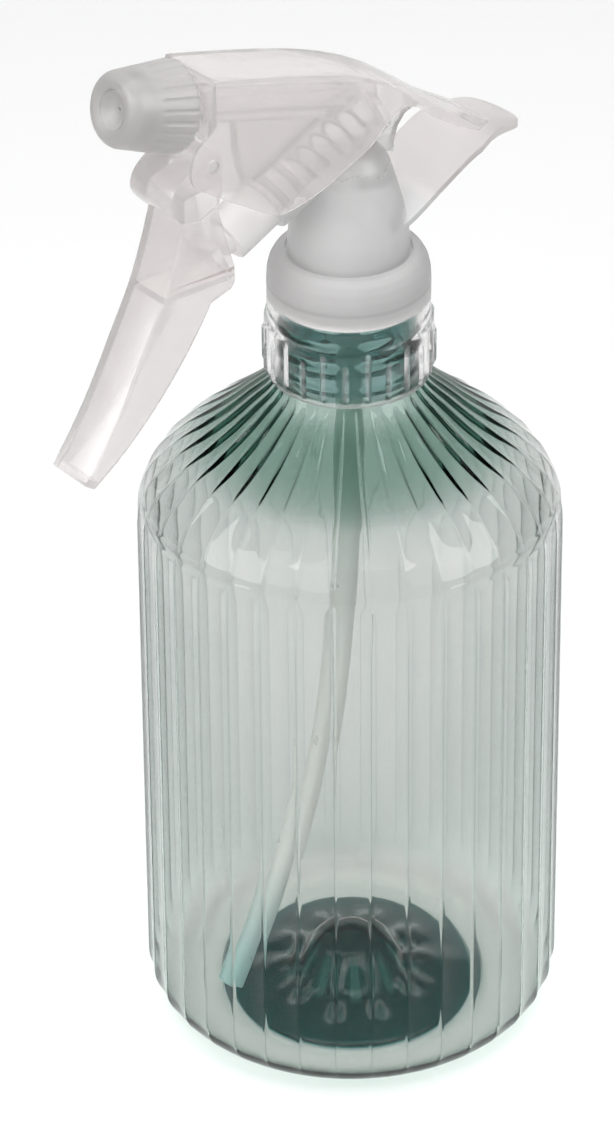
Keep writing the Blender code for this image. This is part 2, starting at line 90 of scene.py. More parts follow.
FLUTE_STEPS = (-0.5, -0.465, -0.41, -0.32, -0.21, -0.08, 0.08, 0.21, 0.32, 0.41, 0.465)

# Collar
COLLAR_R = 16.1
COLLAR_RING_R = 15.65
COLLAR_CAP_R = 15.1
COLLAR_Z = 139.2
COLLAR_RING_TOP_Z = 150.8
COLLAR_RIBS = 24
COLLAR_RIB_TOPS = (150.6, 148.4)   # every other rib is shorter
COLLAR_TURN = 4.0          # degrees about the axis

# Head
HEAD_W = 7.0
SHROUD_WALL = 0.7
TRIGGER_W = 5.1
KNUCKLE_W = 5.95
PIVOT = (-35.7, 195.9)
PUMP_TILT = 27.0
PISTON_FACE = (-28.4, 176.4)
NOZZLE_TILT = 15.4
NOZZLE_REAR = (-39.3, 206.4)
NOZZLE_LENGTH = 13.8
NOZZLE_RIBS = 24
NOZZLE_RIB_DEPTH = 0.32

# The photograph's view
VIEW_TARGET = (-6.375, 4.98, 96.1)     # from the bottle's axis, in millimetres
VIEW_TURN, VIEW_ELEVATION, VIEW_ROLL = -38.0, 32.3, -0.5
VIEW_DISTANCE = 1.056      # metres
VIEW_SENSOR, VIEW_LENS = 36.0, 178.25


# ---------------------------------------------------------------- mesh tools

def new_object(name, mesh):
    obj = bpy.data.objects.new(name, mesh)
    bpy.context.scene.collection.objects.link(obj)
    return obj


def grid_object(name, rows, close_columns=False, caps=False):
    """A quad grid from closed rows of points in millimetres. close_columns joins the last row to
    the first, and caps fill both end rows."""
    rows = np.asarray(rows, float) * MM
    count, width = rows.shape[:2]
    faces = []
    for i in range(count if close_columns else count - 1):
        a, b = i * width, (i + 1) % count * width
        for j in range(width):
            k = (j + 1) % width
            faces.append((a + j, b + j, b + k, a + k))
    if caps:
        faces.append(tuple(range(width)))
        faces.append(tuple((count - 1) * width + j for j in reversed(range(width))))
    mesh = bpy.data.meshes.new(name)
    mesh.from_pydata([tuple(p) for p in rows.reshape(-1, 3)], [], faces)
    mesh.update()
    return new_object(name, mesh)


def arc(centre, radius, start, end, steps):
    """Points on an arc from start to end, in degrees."""
    angles = [math.radians(start + (end - start) * i / steps) for i in range(steps + 1)]
    return [(centre[0] + radius * math.cos(a), centre[1] + radius * math.sin(a)) for a in angles]


def blend(a, b, c, d, t):
    """One coordinate of a Catmull-Rom curve between b and c."""
    return 0.5 * (2 * b + (c - a) * t + (2 * a - 5 * b + 4 * c - d) * t * t + (3 * b - a - 3 * c + d) * t**3)


def smooth(route, steps):
    """Points on a smooth curve through the route's points, of any number of coordinates."""
    ends = [tuple(2 * a - b for a, b in zip(route[0], route[1]))]
    ends.append(tuple(2 * a - b for a, b in zip(route[-1], route[-2])))
    knots = [ends[0]] + list(route) + [ends[1]]
    points = []
    for i in range(1, len(knots) - 2):
        p0, p1, p2, p3 = knots[i - 1 : i + 3]
        for k in range(steps):
            points.append(tuple(blend(a, b, c, d, k / steps) for a, b, c, d in zip(p0, p1, p2, p3)))
    points.append(tuple(route[-1]))
    return points


def rounded(points, radius, steps, closed=True):
    """The outline with each corner rounded, by less where a side is short."""
    made = []
    last = len(points) - 1
    for i, here in enumerate(points):
        if not closed and i in (0, last):
            made.append(tuple(here))
            continue
        before, after = Vector(points[i - 1]), Vector(points[(i + 1) % len(points)])
        here = Vector(here)
        back, on = before - here, after - here
        size = min(radius, back.length * 0.45, on.length * 0.45)
        turn = back.normalized().dot(on.normalized())
        if turn < -0.995 or size < 1e-3:
            made.append(tuple(here))
            continue
        p, q = here + back.normalized() * size, here + on.normalized() * size
        for k in range(steps + 1):
            t = k / steps
            made.append(tuple(p * (1 - t) ** 2 + here * (2 * t * (1 - t)) + q * t * t))
    return made


def turned(name, profile, sides=96, ripple=None):
    """A closed surface of revolution from an (r, z) profile that runs round the material.
    A profile that starts and ends on the axis closes there. ripple gives the radius, changed by angle."""
    on_axis = profile[0][0] < 1e-6 and profile[-1][0] < 1e-6
    profile = [(max(r, 1e-3), z) for r, z in profile]
    rows = []
    for r, z in profile:
        row = []
        for j in range(sides):
            a = 2 * math.pi * j / sides
            rr = ripple(a, r, z) if ripple else r
            row.append((rr * math.cos(a), rr * math.sin(a), z))
        rows.append(row)
    obj = grid_object(name, rows, close_columns=not on_axis, caps=on_axis)
    return facing_out(obj)


def facing_out(obj):
    """The closed mesh with its normals turned outwards."""
    work = bmesh.new()
    work.from_mesh(obj.data)
    bmesh.ops.recalc_face_normals(work, faces=work.faces)
    if work.calc_volume(signed=True) < 0:
        bmesh.ops.reverse_faces(work, faces=work.faces)
    work.to_mesh(obj.data)
    work.free()
    return obj


def applied(obj):
    """The object with its modifiers applied and its place in its mesh."""
    bpy.context.view_layer.update()
    graph = bpy.context.evaluated_depsgraph_get()
    mesh = bpy.data.meshes.new_from_object(obj.evaluated_get(graph))
    mesh.transform(obj.matrix_world)
    name = obj.name
    bpy.data.objects.remove(obj, do_unlink=True)
    mesh.name = name
    return new_object(name, mesh)


def plate(name, outline, half_width, bevel=0.0, upright=True):
    """An outline with thickness and bevelled edges: x and z along Y when upright, or x and y along Z."""
    curve = bpy.data.curves.new(name, "CURVE")
    curve.dimensions = "2D"
    curve.fill_mode = "BOTH"
    curve.extrude = half_width * MM
    spline = curve.splines.new("POLY")
    spline.points.add(len(outline) - 1)
    for point, (u, v) in zip(spline.points, outline):
        point.co = (u * MM, v * MM, 0.0, 1.0)
    spline.use_cyclic_u = True
    obj = new_object(name, curve)
    if upright:
        obj.rotation_euler = (math.radians(90.0), 0.0, 0.0)
    obj = applied(obj)
    weld(obj)
    return bevelled(obj, bevel) if bevel else obj


def bevelled(obj, width):
    step = obj.modifiers.new("bevel", "BEVEL")
    step.width = width * MM
    step.segments = 3
    step.limit_method = "ANGLE"
    step.angle_limit = math.radians(50.0)
    return applied(obj)


def weld(obj):
    """Joins the points that lie on each other."""
    work = bmesh.new()
    work.from_mesh(obj.data)
    bmesh.ops.remove_doubles(work, verts=work.verts, dist=1e-6)
    bmesh.ops.recalc_face_normals(work, faces=work.faces)
    work.to_mesh(obj.data)
    work.free()


def combine(obj, others, operation):
    """Joins or cuts the object with the others, and applies it."""
    for other in others:
        step = obj.modifiers.new(operation.lower(), "BOOLEAN")
        step.operation = operation
        step.solver = "EXACT"
        step.object = other
    obj = applied(obj)
    for other in others:
        bpy.data.objects.remove(other, do_unlink=True)
    return obj


def shade(obj, angle):
    """Smooth shading, with edges over the angle kept sharp."""
    obj.data.shade_smooth()
    obj.data.set_sharp_from_angle(angle=math.radians(angle))


def tube(name, points, radius, sides, bore=0.0):
    """A round bar or, with a bore, a tube along points in millimetres."""
    points = [Vector(p) for p in points]
    tangents = []
    for i in range(len(points)):
        tangents.append((points[min(i + 1, len(points) - 1)] - points[max(i - 1, 0)]).normalized())
    side = tangents[0].orthogonal().normalized()
    frames = []
    for t in tangents:
        side = (side - t * side.dot(t)).normalized()
        frames.append((side.copy(), t.cross(side)))

    def ring(i, r):
        u, v = frames[i]
        turns = [2 * math.pi * j / sides for j in range(sides)]
        return [tuple(points[i] + u * (r * math.cos(a)) + v * (r * math.sin(a))) for a in turns]

    order = range(len(points))
    if bore:
        rows = [ring(i, radius) for i in order] + [ring(i, bore) for i in reversed(order)]
        obj = grid_object(name, rows, close_columns=True)
    else:
        obj = grid_object(name, [ring(i, radius) for i in order], caps=True)
    return facing_out(obj)


def helix(radius, low, high, turns, steps):
    """Points on a coil about Z."""
    return [
        (
            radius * math.cos(2.0 * math.pi * turns * i / steps),
            radius * math.sin(2.0 * math.pi * turns * i / steps),
            low + (high - low) * i / steps,
        )
        for i in range(steps + 1)
    ]


# ---------------------------------------------------------------- places

def at_axis(turn=0.0):
    """On the bottle's axis."""
    return Matrix.Translation((AXIS_X * MM, 0, 0)) @ Matrix.Rotation(math.radians(turn), 4, "Z")


def in_plane(x, z, tilt):
    """At x from the bottle's axis and height z, with Z leaning by the tilt towards X."""
    lean = Matrix.Rotation(math.radians(tilt), 4, "Y")
    return at_axis() @ Matrix.Translation((x * MM, 0, z * MM)) @ lean


PUMP = in_plane(*PISTON_FACE, 90.0 - PUMP_TILT)      # Z along the pump's axis, rising to the rear
NOZZLE = in_plane(*NOZZLE_REAR, NOZZLE_TILT - 90.0)  # Z along the nozzle's axis, forwards


def moved(obj, matrix):
    obj.data.transform(matrix)
    return obj


def rod(name, radius, high, low, matrix, sides, edge=0.0, steps=3):
    """A cylinder along the matrix's Z, with rounded edges where edge isn't 0."""
    profile = [(0, high), (radius, high), (radius, low), (0, low)]
    if edge:
        profile = rounded(profile, edge, steps, closed=False)
    return moved(turned(name, profile, sides), matrix)


def piece(obj, body, nodes, material, angle=35.0):
    """The finished piece: its material, the body it rides on and the CAD nodes it stands for."""
    shade(obj, angle)
    obj.data.materials.clear()
    obj.data.materials.append(material)
    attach(obj, body)
    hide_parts(*nodes)


# ---------------------------------------------------------------- materials

# Where the tints change from one to the next, in millimetres: heights, and distances from the bottle's axis
STANDING_Z = (1.5, 6.0)
EDGE_FOOT_Z = (4.0, 10.0)
TUBE_FOOT_Z = (16.0, 36.0)
BASE_TOP_Z = (30.0, 31.0)
BODY_TOP_Z = (98.0, 108.0)
SHOULDER_Z = (118.0, 120.0)
NECK_FOOT_Z = (138.5, 140.5)
CAP_FOOT_Z = (155.0, 156.0)
CAP_STEP_LOW_Z = (157.9, 158.2)
CAP_STEP_HIGH_Z = (158.6, 158.9)
CHIMNEY_TOP_Z = (179.0, 188.0)
PETAL_START_R = (6.0, 7.0)
PETAL_END_R = (12.5, 13.5)
NECK_FOOT_R = (14.5, 16.5)
SHOULDER_R = (24.0, 31.0)
# A point, from the frame's origin, of a line 5.5 mm above the pump's axis and along it, and the distances
# from that line over which the body's clear part ends
CLEAR_LINE = (-28.4, 176.4)
CLEAR_LINE_R = (7.2, 7.6)


class Nodes:
    """Short hand for one material's node tree."""

    def __init__(self, name):
        self.material = bpy.data.materials.new(name)
        self.material.use_nodes = True
        self.tree = self.material.node_tree
        self.shader = self.tree.nodes["Principled BSDF"]
        self.output = self.tree.nodes["Material Output"]
        self.where = self.add("ShaderNodeTexCoord").outputs["Object"]

    def add(self, kind, **values):
        made = self.tree.nodes.new(kind)
        for key, value in values.items():
            setattr(made, key, value)
        return made

    def link(self, source, target):
        self.tree.links.new(source, target)

    def noise(self, scale, detail=3.0, stretch=None):
        """Noise over the object; scale is in cells per metre."""
        made = self.add("ShaderNodeTexNoise")
        made.inputs["Scale"].default_value = scale
        made.inputs["Detail"].default_value = detail
        place = self.where
        if stretch:
            mapping = self.add("ShaderNodeMapping")
            mapping.inputs["Scale"].default_value = stretch
            self.link(place, mapping.inputs["Vector"])
            place = mapping.outputs["Vector"]
        self.link(place, made.inputs["Vector"])
        return made.outputs["Fac"]

    def ranged(self, value, low, high, start=0.3, end=0.7):
        made = self.add("ShaderNodeMapRange")
        made.inputs["From Min"].default_value = start
        made.inputs["From Max"].default_value = end
        made.inputs["To Min"].default_value = low
        made.inputs["To Max"].default_value = high
        self.link(value, made.inputs["Value"])
        return made.outputs["Result"]

    def mixed(self, factor, a, b):
        """A colour between a and b."""
        made = self.add("ShaderNodeMix", data_type="RGBA")
        for socket, colour in ((made.inputs[6], a), (made.inputs[7], b)):
            if isinstance(colour, tuple):
                socket.default_value = (*colour, 1.0)
            else:
                self.link(colour, socket)
        self.link(factor, made.inputs[0])
        return made.outputs[2]

    def joined(self, operation, a, b):
        """A Math node over the socket a and b, which is a socket or a number."""
        made = self.add("ShaderNodeMath", operation=operation)
        self.link(a, made.inputs[0])
        if isinstance(b, float):
            made.inputs[1].default_value = b
        else:
            self.link(b, made.inputs[1])
        return made.outputs[0]

    def times(self, a, b):
        return self.joined("MULTIPLY", a, b)

    def either(self, a, b):
        return self.joined("MAXIMUM", a, b)

    def vector(self, operation, source, value=(0.0, 0.0, 0.0)):
        """A Vector Math node's outputs."""
        made = self.add("ShaderNodeVectorMath", operation=operation)
        self.link(source, made.inputs[0])
        made.inputs[1].default_value = value
        return made.outputs

    def along(self, axis):
        split = self.add("ShaderNodeSeparateXYZ")
        self.link(self.where, split.inputs[0])
        return split.outputs[axis]

    def from_axis(self):
        """The distance from the bottle's axis."""
        level = self.vector("MULTIPLY", self.where, (1.0, 1.0, 0.0))[0]
        return self.vector("DISTANCE", level, (AXIS_X * MM, 0.0, 0.0))["Value"]

    def rise(self, value, start, end):
        """0 up to start and 1 from end, both in millimetres."""
        return self.ranged(value, 0.0, 1.0, start * MM, end * MM)

    def fall(self, value, start, end):
        """1 up to start and 0 from end."""
        return self.ranged(value, 1.0, 0.0, start * MM, end * MM)

    def turn_marks(self, count, phase, start, end):
        """1 on lines at equal turns about the bottle's axis, 0 between, from start to end of each turn."""
        across = self.joined("SUBTRACT", self.along("X"), AXIS_X * MM)
        angle = self.joined("ARCTAN2", self.along("Y"), across)
        share = self.joined("MULTIPLY", angle, count / (2 * math.pi))
        share = self.joined("ADD", share, count - count * phase / 360.0)
        fold = self.joined("PINGPONG", share, 0.5)
        return self.ranged(fold, 0.0, 1.0, start, end)

    def edge_on(self, start, end):
        """For a clear wall: 0 where it is seen square on, 1 where it is seen through its length."""
        made = self.add("ShaderNodeLayerWeight")
        made.inputs["Blend"].default_value = 0.5
        return self.ranged(made.outputs["Facing"], 0.0, 1.0, start, end)

    def bump(self, height, depth_mm, strength):
        made = self.add("ShaderNodeBump")
        made.inputs["Strength"].default_value = strength
        made.inputs["Distance"].default_value = depth_mm * MM
        self.link(height, made.inputs["Height"])
        self.link(made.outputs["Normal"], self.shader.inputs["Normal"])

    def set(self, **values):
        for key, value in values.items():
            self.shader.inputs[key.replace("_", " ")].default_value = value

    def let_lamps_through(self, tint):
        """Rays towards a lamp pass, dimmed by the tint, so that light reaches what is inside."""
        clear = self.add("ShaderNodeBsdfTransparent")
        clear.inputs["Color"].default_value = (*tint, 1.0)
        path = self.add("ShaderNodeLightPath")
        mix = self.add("ShaderNodeMixShader")
        self.link(path.outputs["Is Shadow Ray"], mix.inputs[0])
        self.link(self.shader.outputs[0], mix.inputs[1])
        self.link(clear.outputs[0], mix.inputs[2])
        self.link(mix.outputs[0], self.output.inputs["Surface"])

    def absorb(self, colour, density):
        made = self.add("ShaderNodeVolumeAbsorption")
        made.inputs["Color"].default_value = (*colour, 1.0)
        made.inputs["Density"].default_value = density
        self.link(made.outputs[0], self.output.inputs["Volume"])


def bottle_material():
    """Glossy teal-tinted plastic: nearly clear in thin walls and dark where it is thick; the flutes' edges,
    the standing ring and the base also carry painted light and shade.
    """
    n = Nodes("bottle_teal")
    n.set(Roughness=0.02, IOR=1.5, Transmission_Weight=1.0, Specular_Tint=(0.25, 0.25, 0.25, 1.0))
    z, radius = n.along("Z"), n.from_axis()
    body = n.fall(z, *BODY_TOP_Z)
    wall = n.mixed(n.noise(60.0), (0.785, 0.785, 0.778), (0.80, 0.80, 0.793))
    # Dark lines on the flutes' edges over the body: partly the longer path through each ridge, partly painted
    # shade for the dark surroundings that the ridges refract.
    edges = n.times(n.turn_marks(FLUTES, FLUTE_PHASE, 0.475, 0.495), n.rise(z, *EDGE_FOOT_Z))
    wall = n.mixed(n.times(edges, body), wall, (0.66, 0.69, 0.67))
    # Painted light: the wall's foot, at the standing ring, is tinted warm to cancel the green cast of the
    # light on the floor under the bottle, seen through it.
    wall = n.mixed(n.fall(z, *STANDING_Z), wall, (0.95, 0.825, 0.845))
    shoulder = n.times(n.fall(radius, *SHOULDER_R), n.rise(z, *SHOULDER_Z))
    thick = n.mixed(n.fall(radius, *NECK_FOOT_R), (0.66, 0.72, 0.68), (0.86, 0.90, 0.87))
    wall = n.mixed(shoulder, wall, thick)
    wall = n.mixed(n.rise(z, *NECK_FOOT_Z), wall, (0.57, 0.73, 0.76))
    wall = n.mixed(n.times(n.edge_on(0.20, 0.80), body), wall, (0.46, 0.50, 0.485))
    # The base's thick middle: dark teal, partly for its thickness and partly painted shade for the shadowed
    # floor under the base.
    disc = n.times(n.fall(radius, BASE_DISC_R - 0.15, BASE_DISC_R + 0.15), n.fall(z, *BASE_TOP_Z))
    dark = n.mixed(n.noise(160.0), (0.008, 0.14, 0.145), (0.016, 0.165, 0.17))
    petals = n.times(n.rise(radius, *PETAL_START_R), n.fall(radius, *PETAL_END_R))
    petals = n.times(n.turn_marks(BASE_LOBES, LOBE_PHASE, 0.27, 0.33), petals)
    dark = n.mixed(petals, dark, (0.15, 0.34, 0.34))
    n.link(n.mixed(disc, wall, dark), n.shader.inputs["Base Color"])
    n.link(n.ranged(disc, 0.0, 0.8, 0.0, 1.0), n.shader.inputs["Coat Weight"])
    n.bump(n.noise(90.0, 1.0, (1.0, 1.0, 0.25)), 0.05, 0.25)
    n.absorb((0.443, 0.629, 0.58), 700.0)
    n.let_lamps_through((0.955, 0.955, 0.95))
    return n.material


def frosted_material(name, colour, tint, rough, clear, lamp, ior=1.25):
    """Natural polypropylene: lets light through, blurred by its satin skin and a little milky."""
    n = Nodes(name)
    n.set(IOR=ior, Transmission_Weight=clear)
    n.link(n.mixed(n.noise(70.0), colour, tint), n.shader.inputs["Base Color"])
    n.link(n.ranged(n.noise(220.0, 4.0), rough - 0.05, rough + 0.06), n.shader.inputs["Roughness"])
    n.bump(n.noise(500.0, 2.0), 0.01, 0.2)
    n.let_lamps_through(lamp)
    return n.material


def body_material():
    """The pump body: milky in the chimney, clearer in the hand rest and in the parts under the shroud; the
    hand rest's own tone is partly painted shade.
    """
    n = Nodes("body_frosted")
    n.set(IOR=1.25)
    x, z = n.along("X"), n.along("Z")
    rest = n.rise(x, AXIS_X + 11.0, AXIS_X + 14.0)
    above = n.rise(z, *CHIMNEY_TOP_Z)
    from_line = n.vector("SUBTRACT", n.where, (CLEAR_LINE[0] * MM, 0.0, CLEAR_LINE[1] * MM))[0]
    off_line = n.vector("CROSS_PRODUCT", from_line, PUMP.to_3x3() @ Vector((0, 0, 1)))[0]
    off_line = n.vector("LENGTH", off_line)["Value"]
    cylinder = n.times(n.fall(off_line, *CLEAR_LINE_R), n.fall(x, AXIS_X - 9.0, AXIS_X - 7.0))
    milky = n.mixed(n.noise(70.0), (0.64, 0.64, 0.64), (0.61, 0.61, 0.61))
    milky = n.mixed(above, milky, (0.79, 0.78, 0.775))
    # The hand rest's tone is partly painted shade: set for the top light on its upward face, which would
    # otherwise show too bright.
    n.link(n.mixed(rest, milky, (0.70, 0.675, 0.67)), n.shader.inputs["Base Color"])
    thin = n.either(n.either(rest, above), cylinder)
    n.link(n.ranged(thin, 0.30, 0.86, 0.0, 1.0), n.shader.inputs["Transmission Weight"])
    covered = n.either(cylinder, n.times(above, n.ranged(rest, 1.0, 0.0, 0.0, 1.0)))
    rough = n.ranged(n.noise(220.0, 4.0), 0.30, 0.41)
    n.link(n.times(rough, n.ranged(covered, 1.0, 0.35, 0.0, 1.0)), n.shader.inputs["Roughness"])
    n.bump(n.noise(500.0, 2.0), 0.01, 0.2)
    n.let_lamps_through((0.82, 0.82, 0.82))
    return n.material


def tube_material():
    """The dip tube: hazy, with its foot painted teal for the teal-tinted light near the base."""
    n = Nodes("tube_frosted")
    n.set(IOR=1.25, Transmission_Weight=0.32)
    hazy = n.mixed(n.noise(70.0), (0.71, 0.705, 0.69), (0.67, 0.665, 0.65))
    # Painted light: the foot is tinted teal for the light that reaches it through the teal base.
    foot = n.fall(n.along("Z"), *TUBE_FOOT_Z)
    n.link(n.mixed(foot, hazy, (0.33, 0.48, 0.47)), n.shader.inputs["Base Color"])
    n.link(n.ranged(n.noise(220.0, 4.0), 0.27, 0.38), n.shader.inputs["Roughness"])
    n.bump(n.noise(300.0, 2.0), 0.01, 0.2)
    n.let_lamps_through((0.8, 0.8, 0.8))
    return n.material


def clear_material():
    """The collar: a clear ring with hazier ribs and rim, and a milky cap with a faint step."""
    n = Nodes("collar_clear")
    n.set(IOR=1.2, Specular_Tint=(0.5, 0.5, 0.5, 1.0))
    z = n.along("Z")
    cap = n.rise(z, *CAP_FOOT_Z)
    ribs = n.rise(n.from_axis(), COLLAR_RING_R + 0.1, COLLAR_R - 0.1)
    rim = n.fall(z, COLLAR_Z + 0.6, COLLAR_Z + 0.9)
    hazy = n.either(n.ranged(n.either(ribs, rim), 0.0, 0.45, 0.0, 1.0), cap)
    clear = n.mixed(n.noise(80.0), (0.90, 0.895, 0.893), (0.93, 0.925, 0.923))
    step = n.times(n.rise(z, *CAP_STEP_LOW_Z), n.fall(z, *CAP_STEP_HIGH_Z))
    milky = n.mixed(step, (0.63, 0.625, 0.625), (0.54, 0.535, 0.535))
    n.link(n.mixed(hazy, clear, milky), n.shader.inputs["Base Color"])
    n.link(n.ranged(cap, 0.16, 0.42, 0.0, 1.0), n.shader.inputs["Roughness"])
    n.link(n.ranged(hazy, 1.0, 0.60, 0.0, 1.0), n.shader.inputs["Transmission Weight"])
    n.let_lamps_through((0.9, 0.9, 0.9))
    return n.material


def solid_material(name, colour, tint, rough, metallic=0.0, grain=900.0):
    """An opaque finish with grain and a slight change of colour."""
    n = Nodes(name)
    n.set(Metallic=metallic)
    n.link(n.mixed(n.noise(120.0), colour, tint), n.shader.inputs["Base Color"])
    n.link(n.ranged(n.noise(400.0, 4.0), rough - 0.06, rough + 0.08), n.shader.inputs["Roughness"])
    n.bump(n.noise(grain, 2.0), 0.02, 0.3)
    return n.material


TEAL = bottle_material()
CLEAR = clear_material()
SHELL = frosted_material(
    "head_frosted", (0.815, 0.795, 0.79), (0.795, 0.775, 0.77), 0.13, 0.76, (0.92, 0.91, 0.91), 1.35
)
# The trigger's copy of the head's plastic is darker: painted shade against the front light on the trigger.
LEVER = frosted_material(
    "trigger_frosted", (0.775, 0.755, 0.75), (0.755, 0.735, 0.73), 0.21, 0.74, (0.92, 0.91, 0.91), 1.35
)
BODY = body_material()
NOZZLE_SHELL = frosted_material(
    "nozzle_frosted", (0.60, 0.59, 0.585), (0.57, 0.56, 0.555), 0.36, 0.50, (0.8, 0.8, 0.8)
)
PISTON_SHELL = frosted_material(
    "piston_frosted", (0.74, 0.73, 0.725), (0.71, 0.70, 0.695), 0.42, 0.45, (0.85, 0.85, 0.85)
)
TUBE = tube_material()
WHITE = solid_material("inner_white", (0.80, 0.795, 0.785), (0.76, 0.755, 0.75), 0.5)
FOAM = solid_material("gasket_foam", (0.84, 0.84, 0.82), (0.78, 0.78, 0.76), 0.8, grain=2600.0)
RUBBER = solid_material("seal_rubber", (0.28, 0.29, 0.29), (0.22, 0.23, 0.23), 0.62)
# Darker than bare steel: painted shade for the spring and balls that sit inside the head.
STEEL = solid_material("spring_steel", (0.20, 0.21, 0.22), (0.16, 0.17, 0.18), 0.34, 1.0, grain=3000.0)


# ---------------------------------------------------------------- bottle

def eased(x, start, end):
    """0 before start, 1 after end, smooth between."""
    t = min(max((x - start) / (end - start), 0.0), 1.0)
    return t * t * (3 - 2 * t)


def thread_height(angle, z):
    """How far the neck's thread stands out at this angle and height."""
    first, last = THREAD_Z
    pitch = (last - first) / THREAD_TURNS
    best = 0.0
    for k in range(-1, 3):
        at = first + pitch * (angle / (2 * math.pi) + k)
        if at < first - 0.01 or at > last + 0.01:
            continue
        ends = eased(at, first, first + 0.7) * (1 - eased(at, last - 0.7, last))
        off = abs(z - at) / THREAD_HALF
        if off < 1:
            best = max(best, THREAD_DEPTH * ends * (1 - off**2) ** 0.5)
    return best


def bottle_rows():
    """Rows of (r, z, flute depth, wall, share of the flutes that the inside follows)."""
    knots = [
        (12.5, 140.0, 0.0, 1.6, 0.2),
        (12.75, 139.3, 0.0, 1.6, 0.2),
        (13.4, 138.7, 0.0, 1.6, 0.2),
        (15.0, 136.7, 0.20, 1.9, 0.8),
        (18.5, 133.7, 0.30, 2.4, 0.88),
        (22.6, 130.0, 0.38, 2.35, 0.88),
        (27.0, 126.4, 0.42, 1.65, 0.88),
        (29.6, 124.4, 0.40, 0.9, 0.88),
        (32.0, 122.4, 0.36, 0.42, 0.88),
        (36.4, 118.0, 0.25, 0.18, 0.9),
        (38.4, 114.8, 0.12, 0.16, 0.9),
        (39.0, 113.3, 0.03, 0.16, 0.9),
        (39.45, 112.2, 0.03, 0.16, 0.9),
        (39.8, 110.6, 0.45, 0.22, 0.84),
        (40.0, 108.0, 0.55, 0.22, 0.84),
    ]
    rows = smooth(knots, 5)
    rows += [(BOTTLE_R, z, FLUTE_DEPTH, BODY_WALL, FLUTE_FOLLOW) for z in np.linspace(100, CORNER_R + 2, 9)]
    for k, (r, z) in enumerate(arc((BOTTLE_R - CORNER_R, CORNER_R), CORNER_R, 0, -90, 14)):
        fade = 1 - eased(k, 1, 8)
        wall = CORNER_WALL + (BODY_WALL - CORNER_WALL) * fade
        rows.append((r, z, FLUTE_DEPTH * fade, wall, FLUTE_FOLLOW))
    return rows


def lobes(angle, r):
    """The petal-like folds round the base's dome."""
    swell = math.exp(-(((r - LOBE_R) / LOBE_SPREAD) ** 2))
    return LOBE_HEIGHT * swell * (0.5 + 0.5 * math.cos(BASE_LOBES * angle))


def make_bottle():
    """One closed wall: lip, thread, fluted outside and underside, then the inside back up to the lip."""
    angles, groove = [], []
    for k in range(FLUTES):
        for u in FLUTE_STEPS:
            angles.append(2 * math.pi * (k + u) / FLUTES)
            groove.append(1 - abs(2 * u) ** 2)
    cos_a, sin_a = np.cos(angles), np.sin(angles)
    groove = np.array(groove)

    def ring(radii, heights):
        radii = np.broadcast_to(radii, cos_a.shape)
        return np.stack([radii * cos_a, radii * sin_a, np.broadcast_to(heights, cos_a.shape)], -1)

    rows = bottle_rows()
    line = np.array([(r, z) for r, z, *_ in rows])
    along = np.gradient(line, axis=0)
    along /= np.linalg.norm(along, axis=1)[:, None]
    normal = np.stack([-along[:, 1], along[:, 0]], -1)
    outside, inside = [], []
    lip = [(NECK_BORE_R, NECK_TOP_Z), (12.1, NECK_TOP_Z), (12.45, NECK_TOP_Z - 0.4)]
    outside += [ring(r, z) for r, z in lip]
    bead_z, bead_height, bead_half = NECK_BEAD
    for z in np.arange(NECK_TOP_Z - 0.9, NECK_ROOT_Z, -0.36):
        bulge = np.array([thread_height(a % (2 * math.pi), z) for a in angles])
        bead = bead_height * max(0.0, 1 - abs(z - bead_z) / bead_half) ** 0.5
        outside.append(ring(NECK_R + np.maximum(bulge, bead), z))
    for (r, z, depth, wall, follow), (nr, nz) in zip(rows, normal):
        outside.append(ring(r - depth * groove * nr, z - depth * groove * nz))
        off = wall + depth * follow * np.maximum(groove, BLUNT)
        inside.append(ring(r - off * nr, z - off * nz))
    under = smooth([(29.0, 0.0), (25.8, 0.0), (24.9, 0.5), (24.2, 0.85), (18.0, 1.5), (10.6, 2.7)], 4)[1:]
    under += smooth([(10.3, 2.9), (8.6, 5.4), (6.4, 7.6), (4.2, 8.3), (2.0, 8.4), (0.01, 8.4)], 3)
    floor = [(29.0, CORNER_WALL), (26.0, 0.65), (24.8, 1.4), (23.8, 1.9), (18.0, 2.9), (11.2, 4.4)]
    floor = smooth(floor, 4)[1:]
    floor += smooth([(10.9, 4.9), (8.9, 7.6), (6.6, 9.7), (4.2, 10.3), (2.0, 10.35), (0.01, 10.35)], 3)
    for r, z in under:
        lift = np.array([lobes(a, r) for a in angles])
        outside.append(ring(r, z + lift))
    for r, z in floor:
        lift = np.array([lobes(a, r) for a in angles])
        inside.append(ring(r, z + LOBE_INSIDE * lift))
    top_inside = [ring(NECK_BORE_R, z) for z in np.linspace(NECK_TOP_Z - 0.4, 141.0, 6)]
    rows = outside + inside[::-1] + top_inside[::-1]
    bottle = grid_object("bottle", rows, close_columns=True)
    facing_out(bottle)
    moved(bottle, at_axis(FLUTE_PHASE))
    piece(bottle, "bottle", ["bottle"], TEAL, angle=60.0)


# ---------------------------------------------------------------- collar

